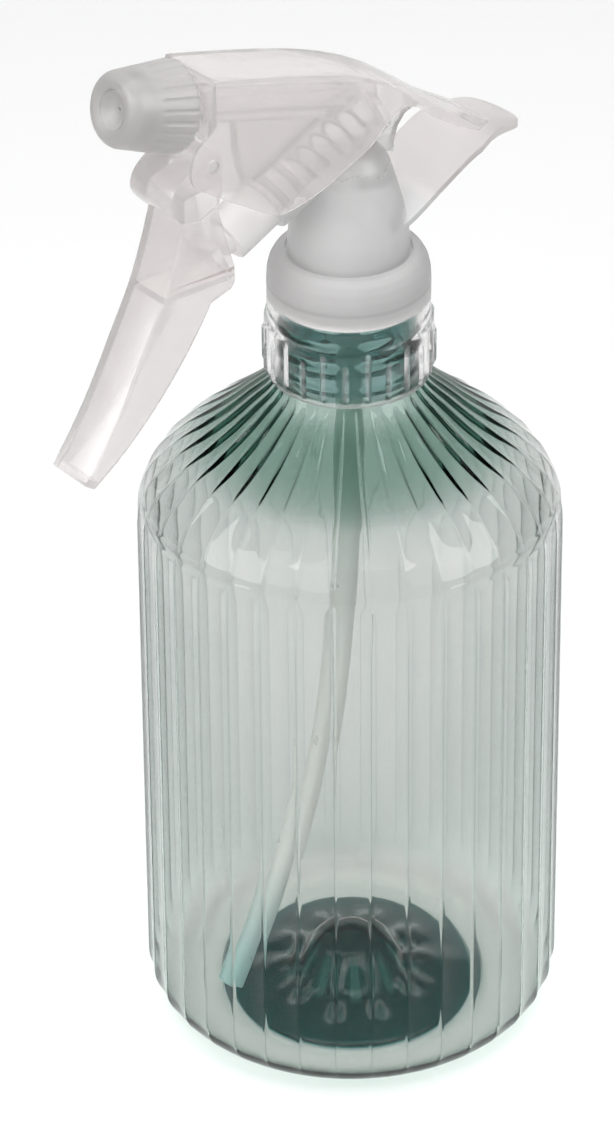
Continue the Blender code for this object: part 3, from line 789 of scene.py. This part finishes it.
def make_collar():
    """The clear cap and its grip ring, with raised ribs, hollow below."""
    profile = [
        (11.7, 164.9),
        (12.9, 164.5),
        (13.9, 163.6),
        (14.65, 162.2),
        (15.0, 160.6),
        (COLLAR_CAP_R, 158.4),
        (COLLAR_CAP_R, 151.4),
        (COLLAR_RING_R, COLLAR_RING_TOP_Z),
        (COLLAR_RING_R, 141.6),
        (15.1, COLLAR_Z),
        (14.4, COLLAR_Z),
        (13.9, 140.4),
        (13.9, 159.6),
        (13.5, 161.6),
        (12.8, 163.0),
        (11.7, 163.7),
    ]
    fine = rounded(profile, 0.35, 3)
    dense = []
    for (r0, z0), (r1, z1) in zip(fine, fine[1:] + fine[:1]):
        steps = max(1, int(abs(z1 - z0) / 0.5))
        dense += [(r0 + (r1 - r0) * k / steps, z0 + (z1 - z0) * k / steps) for k in range(steps)]
    sides = COLLAR_RIBS * 12

    def ripple(a, r, z):
        if r < COLLAR_CAP_R - 0.05 or z > 151.0 or z < 139.6:
            return r
        turn = a * COLLAR_RIBS / (2 * math.pi) + 0.5
        u = abs(turn - math.floor(turn) - 0.5) * 2
        top = COLLAR_RIB_TOPS[int(turn) % 2]
        height = (1 - eased(u, 0.10, 0.30)) * (1 - eased(z, top - 0.5, top + 0.2)) * eased(z, 140.0, 141.0)
        return r + (COLLAR_R - COLLAR_RING_R) * height

    collar = moved(turned("collar", dense, sides, ripple), at_axis(COLLAR_TURN))
    piece(collar, "collar", ["collar"], CLEAR)


def make_neck_gasket():
    low, high = NECK_TOP_Z + 0.3, NECK_TOP_Z + 1.3
    profile = rounded([(13.3, high), (13.3, low), (9.9, low), (9.9, high)], 0.2, 3)
    piece(moved(turned("neck_gasket", profile), at_axis()), "head", ["neck_gasket"], FOAM)


# ---------------------------------------------------------------- head

def make_pump_body():
    """Chimney, pump cylinder, discharge barrel, fin and hand rest as one moulding, with their bores."""
    chimney = [
        (0, 186.0),
        (3.0, 185.9),
        (5.6, 185.2),
        (7.4, 183.0),
        (8.6, 179.0),
        (10.0, 174.0),
        (11.0, 169.0),
        (11.2, 166.0),
        (11.2, 163.7),
        (11.9, 162.7),
        (12.6, 160.7),
        (13.5, 157.9),
        (13.5, NECK_TOP_Z + 1.6),
        (9.8, NECK_TOP_Z + 1.6),
        (9.8, 168.0),
        (6.8, 173.0),
        (5.2, 173.0),
        (5.2, 149.0),
        (0, 149.0),
    ]
    body = moved(turned("pump_body", rounded(chimney, 0.6, 3, closed=False), 96), at_axis())
    cylinder = rod("cylinder", 6, 37, 9.5, PUMP, 64, edge=0.5)
    barrel = rod("barrel", 3.4, 8.5, -41, NOZZLE, 48, edge=0.4)
    stub = rod("stub", 2.5, -34.7, -45.4, NOZZLE, 44, edge=0.2, steps=2)
    web = [(-27.0, 202.0), (-24.0, 186.5), (-8.0, 186.0), (3.0, 184.0), (9.6, 181.6), (9.7, 183.6)]
    web += [(10.6, 186.5), (12.4, 188.6), (15.2, 189.6), (12.0, 192.8), (6.0, 196.0), (-4.0, 200.5)]
    fin = moved(plate("fin", web, 1.2, 0.2), at_axis())
    body = combine(body, [cylinder, barrel, stub, fin, make_rest()], "UNION")
    bore = rod("bore", 5, 35.6, 8.5, PUMP, 60)
    steps = [(0, 9.5), (2.3, 9.5), (2.3, -6), (1.4, -6), (1.4, -46.4), (0, -46.4)]
    passage = moved(turned("passage", steps, 42), NOZZLE)
    inlet = rod("inlet", 1.2, 187, 165, at_axis(), 28)
    socket = rod("socket", 3.5, 168.6, 148, at_axis(), 50)
    body = combine(body, [bore, passage, inlet, socket], "DIFFERENCE")
    piece(body, "head", ["pump_body"], BODY)


def make_rest():
    """The hand rest: a thin saddle with a rounded tip and bevelled edges."""
    top = [(3.0, 170.0), (8.7, 172.5), (14.3, 175.9), (21.4, 180.0)]
    top = smooth(top + [(25.0, 181.3), (29.6, 182.1), (34.0, 181.5), (38.6, 179.6)], 5)
    outline = top + [(x, z - 1.3) for x, z in reversed(top)]
    rest = plate("rest", outline, 10.0)
    tip = [(2.0, -9.0), (24.0, -9.0), (27.0, -7.9)] + arc((30.6, 0), 7.2, -78, 78, 24)
    tip += [(27.0, 7.9), (24.0, 9.0), (2.0, 9.0)]
    plan = moved(plate("rest_plan", tip, 30.0, upright=False), Matrix.Translation((0, 0, 180.0 * MM)))
    rest = combine(rest, [plan], "INTERSECT")
    return moved(bevelled(rest, 0.35), at_axis())


SHROUD_TOP = [
    (-35.3, 212.6),
    (-27.5, 210.6),
    (-16.0, 207.4),
    (-7.0, 204.5),
    (1.0, 201.2),
    (8.0, 197.4),
    (14.0, 193.1),
    (20.0, 188.5),
    (28.6, 183.2),
]


def make_shroud():
    """A thin hollow cover, open below and at the nozzle's end, with ears that hold the trigger's pins."""
    top = smooth(SHROUD_TOP, 4)
    lower = [(26.0, 182.1), (20.6, 185.0), (15.2, 188.6), (11.0, 192.2), (7.6, 193.6), (3.8, 191.4)]
    lower += [(-0.6, 187.9), (-6.3, 185.4), (-12.1, 182.8), (-19.0, 181.3), (-22.7, 182.0), (-28.0, 185.2)]
    lower += [(-35.1, 189.8)]
    ear = [(-38.2, 191.9), (-39.9, 193.4), (-40.5, 196.0), (-39.5, 199.4), (-37.0, 202.0)]
    outline = top + rounded(lower[:4], 1.0, 3, False) + smooth(lower[4:], 3) + smooth(ear, 3)
    shroud = plate("shroud", outline, HEAD_W, 0.6)
    plan = [(-45.0, -HEAD_W), (-2.0, -HEAD_W), (30.0, -5.4)]
    plan += [(x, -y) for x, y in reversed(plan)]
    outside = moved(plate("shroud_plan", plan, 40.0, upright=False), Matrix.Translation((0, 0, 195 * MM)))
    shroud = combine(shroud, [outside], "INTERSECT")
    hollow = [(x, z - 1.0) for x, z in smooth(SHROUD_TOP[1:-1], 3)]
    hollow += [(26.4, 182.6), (40.0, 170.0), (-50.0, 170.0)]
    hollow += [(-50.0, 201.6), (-36.2, 201.6), (-34.4, 203.0), (-34.4, 211.4)]
    inside = plate("shroud_hollow", hollow, HEAD_W - SHROUD_WALL, 0.3)
    inner_plan = [(x, y - math.copysign(SHROUD_WALL, y)) for x, y in plan]
    inner_plan = [(x * 2.0 if x < -40.0 else x, y) for x, y in inner_plan]
    narrow = moved(plate("inner_plan", inner_plan, 60.0, upright=False), Matrix.Translation((0, 0, 195 * MM)))
    inside = combine(inside, [narrow], "INTERSECT")
    shroud = moved(combine(shroud, [inside], "DIFFERENCE"), at_axis())
    hole = rod("hole", 3.9, 5, -10, NOZZLE, 52)
    sideways = in_plane(*PIVOT, 0) @ Matrix.Rotation(math.radians(90), 4, "X")
    eyes = rod("eyes", 1.3, 12, -12, sideways, 32)
    shroud = combine(shroud, [hole, eyes], "DIFFERENCE")
    piece(shroud, "head", ["shroud"], SHELL)


def make_trigger():
    """A wide knuckle on two pins, and a hollow lever with a shelf and the pad that meets the piston."""
    front = [(-41.6, 184.9), (-43.3, 179.4), (-46.2, 171.6), (-50.8, 162.6), (-56.8, 151.3), (-64.1, 140.4)]
    rear = [(-61.9, 138.9), (-54.4, 144.5), (-46.7, 151.9), (-40.2, 159.8), (-34.8, 167.8)]
    hook = [(-30.5, 169.1), (-29.7, 170.2), (-29.8, 173.4), (-33.3, 186.2)]
    lever = smooth(front, 4) + smooth(rear, 3) + rounded(hook, 0.5, 3, False)
    lever += [(-34.0, 190.0), (-41.0, 190.0)]
    knuckle = smooth([(-42.0, 186.2), (-43.9, 188.5), (-44.5, 190.6), (-43.4, 193.3), (-40.2, 195.9)], 4)
    knuckle += arc(PIVOT, 2.6, 150, -30, 16)
    knuckle += rounded([(-33.2, 190.0), (-34.0, 187.2), (-38.0, 185.6)], 0.5, 3, False)
    trigger = plate("trigger", knuckle, KNUCKLE_W, 0.7)
    handle = plate("lever", lever, TRIGGER_W, 0.5)
    inner = [(-40.4, 184.9), (-42.1, 179.1), (-45.0, 171.2), (-49.6, 162.1), (-55.6, 150.8), (-62.2, 140.7)]
    inner = smooth(inner, 4)
    inner += [(-54.0, 136.0), (-20.0, 168.0), (-26.0, 189.0), (-34.0, 190.8), (-40.4, 190.0)]
    channel = plate("channel", inner, TRIGGER_W - 1.1, 0.4)
    shelf = [(-45.6, 171.8), (-45.2, 170.6), (-30.4, 170.6), (-30.4, 171.8)]
    web = plate("web", shelf, TRIGGER_W - 0.2)
    lean = math.radians(PUMP_TILT)
    along, across = (math.cos(lean), math.sin(lean)), (-math.sin(lean), math.cos(lean))
    corners = [(-5.2, -4.0), (-3.5, -4.0), (-3.5, 4.0), (-5.2, 4.0)]
    face = [
        (PISTON_FACE[0] + s * along[0] + n * across[0], PISTON_FACE[1] + s * along[1] + n * across[1])
        for s, n in corners
    ]
    pad = plate("pad", face, TRIGGER_W - 0.2)
    trigger = combine(trigger, [handle], "UNION")
    trigger = combine(trigger, [channel], "DIFFERENCE")
    at_pivot = Matrix.Translation((PIVOT[0] * MM, 0, PIVOT[1] * MM))
    sideways = at_pivot @ Matrix.Rotation(math.radians(90), 4, "X")
    pins = turned("pins", [(0, 6.9), (0.8, 6.9), (1.0, 6.7), (1.0, -6.7), (0.8, -6.9), (0, -6.9)], 32)
    moved(pins, sideways)
    trigger = combine(trigger, [web, pad, pins], "UNION")
    piece(moved(trigger, at_axis()), "trigger", ["trigger"], LEVER)


def make_piston():
    """The plunger, with its nose outwards and its two rings in their grooves."""
    tops = {"piston_seal": 16.0, "piston_wiper": 12.4}
    outer = [(3.7, 17.0), (4.9, 17.0)]
    for top in tops.values():
        outer += [(4.9, top), (4.1, top), (4.1, top - 1.6), (4.9, top - 1.6)]
    outer += [(4.9, 0.3), (4.6, 0.0), (3.2, 0.0)]
    nose = arc((0, 0.2), 3.2, 0, -90, 12)[1:-1] + [(0, -3.0)]
    profile = rounded([(0, 13.4), (3.7, 13.4)] + outer, 0.15, 2, False) + nose
    piece(moved(turned("piston", profile, 64), PUMP), "piston", ["piston"], PISTON_SHELL)
    for name, top in tops.items():
        high, low = top - 0.2, top - 1.4
        ring = [(4.75, high), (4.95, high - 0.4), (4.95, low + 0.4), (4.75, low), (4.3, low), (4.3, high)]
        seal = turned(name, rounded(ring, 0.15, 2), 64)
        piece(moved(seal, PUMP), "piston", [name], RUBBER)


def make_springs():
    """The return spring behind the piston and the outlet valve's spring."""
    coil = moved(tube("return_spring", helix(3.0, 14.05, 34.95, 6.5, 260), 0.35, 10), PUMP)
    piece(coil, "head", ["return_spring"], STEEL)
    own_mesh(coil)
    small = moved(tube("outlet_spring", helix(1.4, -2.5, 3.0, 4.0, 160), 0.2, 8), NOZZLE)
    piece(small, "head", ["outlet_spring"], STEEL)
    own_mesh(small)


def make_inlet():
    """Tube holder with the ball's seat, the inlet ball, and the dip tube."""
    profile = [(3.2, 165.8), (3.2, 148.6), (4.9, 148.6), (4.9, 147.2), (3.4, 146.0), (2.75, 146.0)]
    profile += [(2.75, 157.3), (1.0, 157.3), (1.0, 161.2), (1.9, 162.4), (1.9, 165.8)]
    holder = moved(turned("tube_holder", rounded(profile, 0.2, 2), 64), at_axis())
    piece(holder, "head", ["tube_holder"], TUBE)
    ball = moved(turned("inlet_ball", arc((0, 162.9), 1.5, 90, -90, 16), 32), at_axis())
    piece(ball, "inlet_ball", ["inlet_ball"], STEEL)
    route = [(0, 157), (0, 135), (-0.2, 115), (-0.9, 98), (-2.4, 82), (-5.2, 66)]
    route += [(-9.6, 51), (-15.6, 37), (-22.6, 24), (-30.0, 12.6)]
    points = [(x, 0.0, z) for x, z in smooth(route, 8)]
    dip = moved(tube("dip_tube", points, 2.45, 40, 1.6), at_axis())
    piece(dip, "head", ["dip_tube"], TUBE)


def make_outlet():
    """Outlet ball, swirl core with its groove, and the plug at the barrel's rear."""
    ball = moved(turned("outlet_ball", arc((0, -4.4), 1.9, 90, -90, 16), 32), NOZZLE)
    piece(ball, "outlet_ball", ["outlet_ball"], STEEL)
    profile = [(0, 8.8), (1.5, 8.8), (2.0, 8.1), (2.0, 4.2), (1.1, 3.5), (0, 3.5)]
    core = moved(turned("swirl_core", rounded(profile, 0.15, 2, False), 48), NOZZLE)
    slot = rod("slot", 0.5, 10.5, 2, NOZZLE @ Matrix.Translation((-2.0 * MM, 0, 0)), 20)
    core = combine(core, [slot], "DIFFERENCE")
    piece(core, "head", ["swirl_core"], WHITE)
    low = -45.7
    profile = [(0, low + 2.4), (1.1, low + 2.4), (1.1, low), (2.5, low), (2.5, low - 0.8), (0, low - 0.8)]
    plug = moved(turned("discharge_plug", rounded(profile, 0.15, 2, False), 48), NOZZLE)
    piece(plug, "head", ["discharge_plug"], WHITE)


def make_nozzle():
    """The ribbed turn nozzle, its orifice cup and its seal."""
    front = NOZZLE_LENGTH
    profile = [(3.7, front - 0.5), (5.0, front)]
    profile += arc((4.8, front - 2.2), 2.2, 80, 5, 10)
    side = [(6.98 + (8.5 - 6.98) * t, 11.8 - 10.8 * t) for t in np.linspace(0.06, 1, 16)]
    profile += side + [(8.4, 0.3), (8.0, 0.0), (7.3, 0.0), (6.0, 7.6), (5.2, 7.6)]
    profile += [(5.2, 0.4), (3.85, 0.4), (3.85, 9.8), (2.6, 9.8), (2.6, 11.0), (3.7, 11.0)]

    def ripple(a, r, z):
        if r < 6.5 or z > 8.4:
            return r
        turn = a * NOZZLE_RIBS / (2 * math.pi)
        u = abs(turn - math.floor(turn) - 0.5) * 2
        return r - NOZZLE_RIB_DEPTH * eased(u, 0.45, 0.9) * (1 - eased(z, 6.8, 8.2))

    nozzle = moved(turned("nozzle", profile, NOZZLE_RIBS * 8, ripple), NOZZLE)
    piece(nozzle, "nozzle", ["nozzle"], NOZZLE_SHELL)
    cup = [(0.4, front - 2.0), (1.0, front - 2.0), (2.2, front - 1.5), (3.4, front - 0.6)]
    cup += [(3.4, 11.3), (0.4, 11.3)]
    made = moved(turned("orifice_cup", rounded(cup, 0.12, 2), 64), NOZZLE)
    piece(made, "nozzle", ["orifice_cup"], NOZZLE_SHELL)
    ring = rounded([(3.5, 9.5), (3.5, 9.0), (2.4, 9.0), (2.4, 9.5)], 0.12, 2)
    piece(moved(turned("nozzle_seal", ring, 48), NOZZLE), "nozzle", ["nozzle_seal"], RUBBER)


# ---------------------------------------------------------------- stage

def make_camera():
    """Looks down at the mister from beyond its nozzle side, with a long lens."""
    data = bpy.data.cameras.new("camera")
    camera = new_object("camera", data)
    data.sensor_width = VIEW_SENSOR
    data.lens = VIEW_LENS
    data.clip_start, data.clip_end = 0.05, 20.0
    target = (Vector((AXIS_X, 0, 0)) + Vector(VIEW_TARGET)) * MM
    azimuth, elevation, roll = (math.radians(a) for a in (VIEW_TURN, VIEW_ELEVATION, VIEW_ROLL))
    back = Vector((
        math.sin(azimuth) * math.cos(elevation),
        -math.cos(azimuth) * math.cos(elevation),
        math.sin(elevation),
    ))
    right = Vector((0, 0, 1)).cross(back).normalized()
    up = back.cross(right)
    right, up = (
        right * math.cos(roll) + up * math.sin(roll),
        up * math.cos(roll) - right * math.sin(roll),
    )
    camera.matrix_world = Matrix((
        (right.x, up.x, back.x, 0),
        (right.y, up.y, back.y, 0),
        (right.z, up.z, back.z, 0),
        (0, 0, 0, 1),
    ))
    camera.location = target + back * VIEW_DISTANCE
    bpy.context.scene.camera = camera


def area_light(name, place, size, power):
    """A white box of light at a place in metres, turned towards the bottle."""
    data = bpy.data.lights.new(name, "AREA")
    data.shape = "RECTANGLE"
    data.size, data.size_y = size
    data.energy = power
    lamp = new_object(name, data)
    lamp.location = place
    lamp.rotation_euler = (Vector((0, 0, 0.1)) - Vector(place)).to_track_quat("-Z", "Y").to_euler()
    return lamp


def make_stage():
    """A plain pale floor and soft studio lights. The windows show only as reflections."""
    mesh = bpy.data.meshes.new("floor")
    half = 12.0
    corners = [(-half, -half, 0), (half, -half, 0), (half, half, 0), (-half, half, 0)]
    mesh.from_pydata(corners, [], [(0, 1, 2, 3)])
    floor = new_object("floor", mesh)
    floor.location.z = -0.0002
    n = Nodes("floor_pale")
    n.link(n.mixed(n.noise(3.0), (0.93, 0.93, 0.93), (0.95, 0.95, 0.95)), n.shader.inputs["Base Color"])
    n.set(Roughness=0.9)
    mesh.materials.append(n.material)
    world = bpy.data.worlds.new("studio")
    bpy.context.scene.world = world
    world.use_nodes = True
    sky = world.node_tree.nodes["Background"]
    sky.inputs["Color"].default_value = (1.0, 1.0, 1.0, 1.0)
    sky.inputs["Strength"].default_value = 0.12
    area_light("left_box", (-1.0, -0.35, 0.95), (0.8, 0.8), 6.0)
    area_light("right_box", (0.25, -1.0, 0.95), (0.8, 0.8), 3.0)
    top = area_light("top_box", (-0.14, -0.20, 1.8), (2.0, 2.0), 36.5)
    top.visible_glossy = False
    backdrop = area_light("backdrop", (0.98, 1.26, 0.42), (3.0, 0.9), 6.0)
    backdrop.visible_diffuse = False
    for name, place in (("left_window", (-1.28, 0.39, 0.86)), ("right_window", (0.69, -1.15, 0.86))):
        window = area_light(name, place, (0.9, 0.9), 24.0)
        window.visible_diffuse = False
        window.visible_transmission = False


def set_view():
    """Plain colours, and enough bounces for all the clear walls."""
    scene = bpy.context.scene
    scene.view_settings.view_transform = "Standard"
    scene.cycles.max_bounces = 32
    scene.cycles.transmission_bounces = 28
    scene.cycles.transparent_max_bounces = 32
    scene.cycles.sample_clamp_indirect = 2.0


make_bottle()
make_collar()
make_neck_gasket()
make_pump_body()
make_shroud()
make_trigger()
make_piston()
make_springs()
make_inlet()
make_outlet()
make_nozzle()
make_camera()
make_stage()
set_view()
